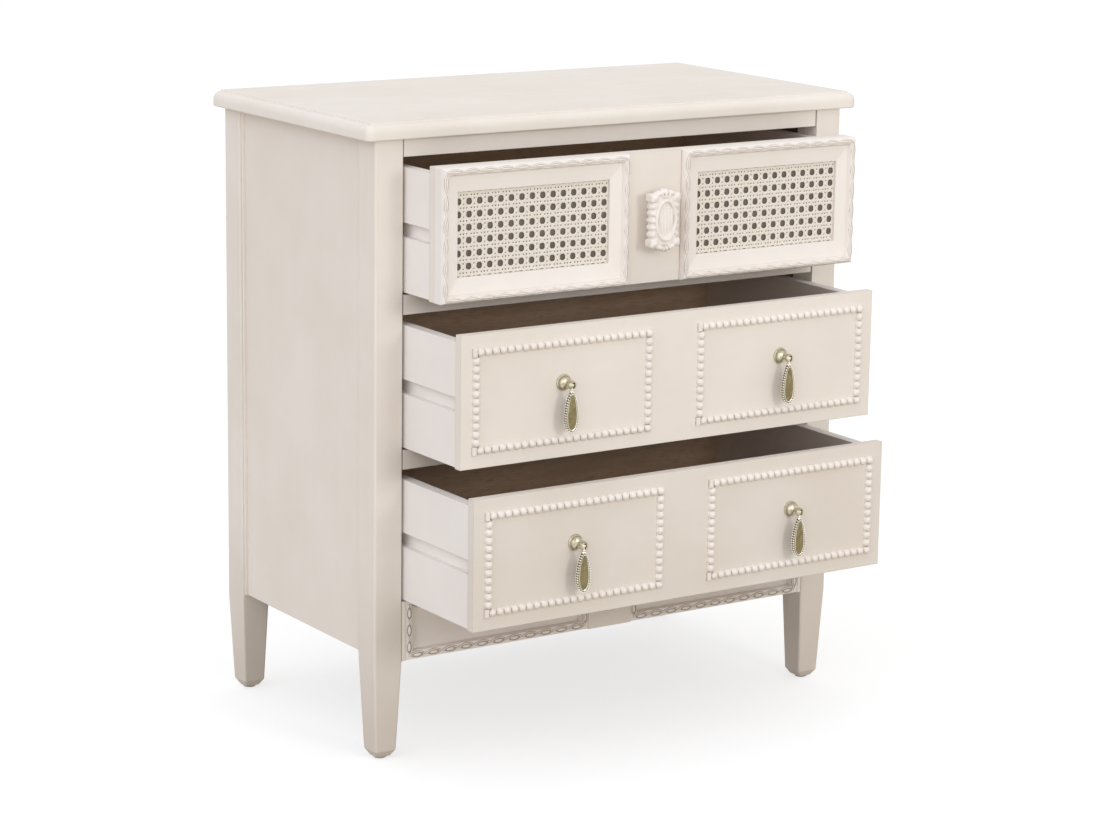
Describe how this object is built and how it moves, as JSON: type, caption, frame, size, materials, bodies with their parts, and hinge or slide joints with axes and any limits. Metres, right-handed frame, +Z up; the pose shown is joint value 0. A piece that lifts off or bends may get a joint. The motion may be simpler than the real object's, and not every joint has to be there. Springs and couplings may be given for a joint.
{
  "type": "commode",
  "caption": "Painted wooden commode with runner-hung drawers, cane-panelled top drawer, carved knob, beaded lower fronts with brass drop pulls, carved apron and tapered feet.",
  "frame": {"origin": "on the floor under the middle of everything, with the drawers open as in the picture", "axes": "+X to the right as seen from the front, +Y to the back, +Z up; the drawers slide along -Y"},
  "size_m": [0.736, 0.578, 0.8],
  "materials": {
    "ivory_paint": "satin ivory paint, lightly worn",
    "brown_wood": "dark brown stain",
    "painted_cane": "ivory paint on woven cane",
    "old_brass": "aged",
    "steel": "plain",
    "pale_pad": "matt"
  },
  "bodies": {
    "carcass": {"top_slab": "ivory_paint", "front_left_post": "ivory_paint", "rear_left_post": "ivory_paint", "front_right_post": "ivory_paint", "rear_right_post": "ivory_paint", "left_side_panel": "ivory_paint", "right_side_panel": "ivory_paint", "top_rail": "ivory_paint", "upper_divider_rail": "ivory_paint", "lower_divider_rail": "ivory_paint", "apron_board": "ivory_paint", "apron_block": "ivory_paint", "apron_left_moulding": "ivory_paint", "apron_right_moulding": "ivory_paint", "back_panel": "brown_wood", "rear_top_rail": "brown_wood", "rear_bottom_rail": "brown_wood", "left_runners": "brown_wood", "right_runners": "brown_wood", "foot_glides": "pale_pad", "runner_screws": "steel", "top_screws": "steel"},
    "top_drawer": {"top_drawer_front": "ivory_paint", "top_drawer_left_side": "ivory_paint", "top_drawer_right_side": "ivory_paint", "top_drawer_back": "brown_wood", "top_drawer_bottom": "brown_wood", "left_carved_moulding": "ivory_paint", "right_carved_moulding": "ivory_paint", "left_cane_frame": "ivory_paint", "right_cane_frame": "ivory_paint", "left_cane_panel": "painted_cane", "right_cane_panel": "painted_cane", "cane_backings": "brown_wood", "carved_knob": "ivory_paint", "knob_screw": "steel"},
    "middle_drawer": {"middle_drawer_front": "ivory_paint", "middle_drawer_left_side": "ivory_paint", "middle_drawer_right_side": "ivory_paint", "middle_drawer_back": "brown_wood", "middle_drawer_bottom": "brown_wood", "middle_drawer_pull_posts": "old_brass", "middle_drawer_pull_pins": "old_brass", "middle_drawer_pull_nuts": "old_brass", "middle_left_beading": "ivory_paint", "middle_right_beading": "ivory_paint"},
    "lower_drawer": {"lower_drawer_front": "ivory_paint", "lower_drawer_left_side": "ivory_paint", "lower_drawer_right_side": "ivory_paint", "lower_drawer_back": "brown_wood", "lower_drawer_bottom": "brown_wood", "lower_drawer_pull_posts": "old_brass", "lower_drawer_pull_pins": "old_brass", "lower_drawer_pull_nuts": "old_brass", "lower_left_beading": "ivory_paint", "lower_right_beading": "ivory_paint"},
    "middle_left_drop": {"middle_left_drop": "old_brass"},
    "middle_right_drop": {"middle_right_drop": "old_brass"},
    "lower_left_drop": {"lower_left_drop": "old_brass"},
    "lower_right_drop": {"lower_right_drop": "old_brass"}
  },
  "joints": [
    {"name": "top_drawer_slide", "type": "slide", "parent": "carcass", "child": "top_drawer", "axis": [0, -1, 0], "range_m": [-0.068, 0.172]},
    {"name": "middle_drawer_slide", "type": "slide", "parent": "carcass", "child": "middle_drawer", "axis": [0, -1, 0], "range_m": [-0.1294, 0.1106]},
    {"name": "lower_drawer_slide", "type": "slide", "parent": "carcass", "child": "lower_drawer", "axis": [0, -1, 0], "range_m": [-0.1605, 0.0795]},
    {"name": "middle_left_drop_swing", "type": "hinge", "parent": "middle_drawer", "child": "middle_left_drop", "pos_m": [-0.1647, -0.2524, 0.4889], "axis": [-1, 0, 0], "range_deg": [-14, 95]},
    {"name": "middle_right_drop_swing", "type": "hinge", "parent": "middle_drawer", "child": "middle_right_drop", "pos_m": [0.1647, -0.2524, 0.4889], "axis": [-1, 0, 0], "range_deg": [-14, 95]},
    {"name": "lower_left_drop_swing", "type": "hinge", "parent": "lower_drawer", "child": "lower_left_drop", "pos_m": [-0.1647, -0.2835, 0.2959], "axis": [-1, 0, 0], "range_deg": [-14, 95]},
    {"name": "lower_right_drop_swing", "type": "hinge", "parent": "lower_drawer", "child": "lower_right_drop", "pos_m": [0.1647, -0.2835, 0.2959], "axis": [-1, 0, 0], "range_deg": [-14, 95]}
  ]
}
